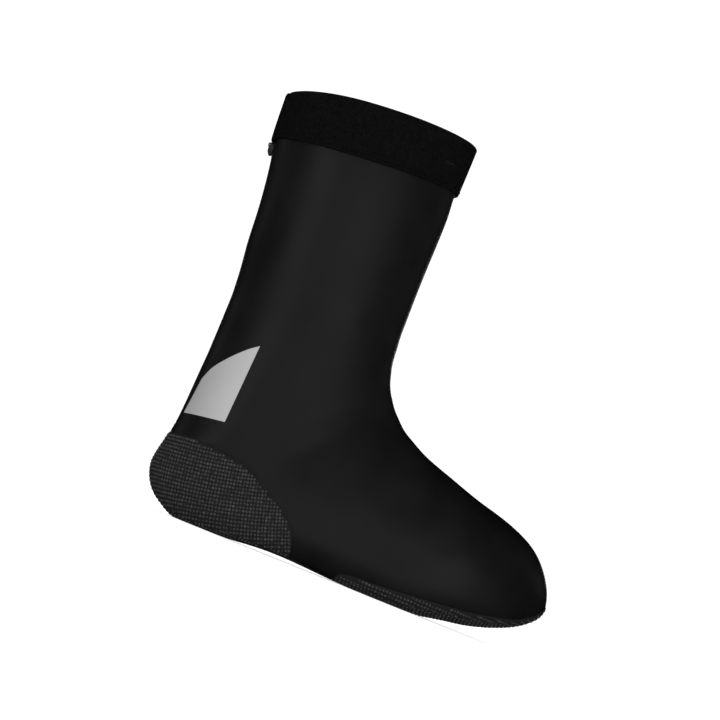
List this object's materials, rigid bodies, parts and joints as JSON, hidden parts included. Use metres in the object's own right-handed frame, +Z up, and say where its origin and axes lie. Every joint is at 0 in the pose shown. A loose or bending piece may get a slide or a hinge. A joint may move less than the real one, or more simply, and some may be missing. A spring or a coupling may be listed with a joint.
{
  "type": "cycling overshoe",
  "caption": "Tall rear-zip cycling overshoe with a knitted closing cuff, dotted mesh heel and toe panels and an open sole, standing empty.",
  "frame": {"origin": "middle of the box round the overshoe, on the floor that it stands on", "axes": "+Z up, +X towards the toe, +Y towards the inner side of the foot"},
  "size_m": [0.2944, 0.1042, 0.3074],
  "materials": {
    "coated_fabric": "black stretch fabric with a smooth satin coating",
    "dotted_mesh": "black hard-wearing mesh with raised dots",
    "binding": "stitched mesh hem",
    "knit_band": "matte black knitted band",
    "reflective_film": "light grey reflective film",
    "zip_tape": "black coated zip tape",
    "zip_coil": "black nylon coil",
    "zip_metal": "dark grey lacquered metal"
  },
  "bodies": {
    "overshoe": {"upper": "coated_fabric", "heel_panel": "dotted_mesh", "toe_panel": "dotted_mesh", "sole_binding": "binding", "cuff": "knit_band", "cuff_tab": "knit_band", "reflective_patch": "reflective_film", "zip_tape_outer": "zip_tape", "zip_tape_inner": "zip_tape", "zip_coil": "zip_coil", "zip_slider": "zip_metal"},
    "pull_tab": {"zip_pull": "zip_metal"}
  },
  "joints": [
    {"name": "pull_swing", "type": "hinge", "parent": "overshoe", "child": "pull_tab", "pos_m": [-0.1443, 0, 0.2594], "axis": [0, 1, 0], "range_deg": [0, 110]}
  ]
}
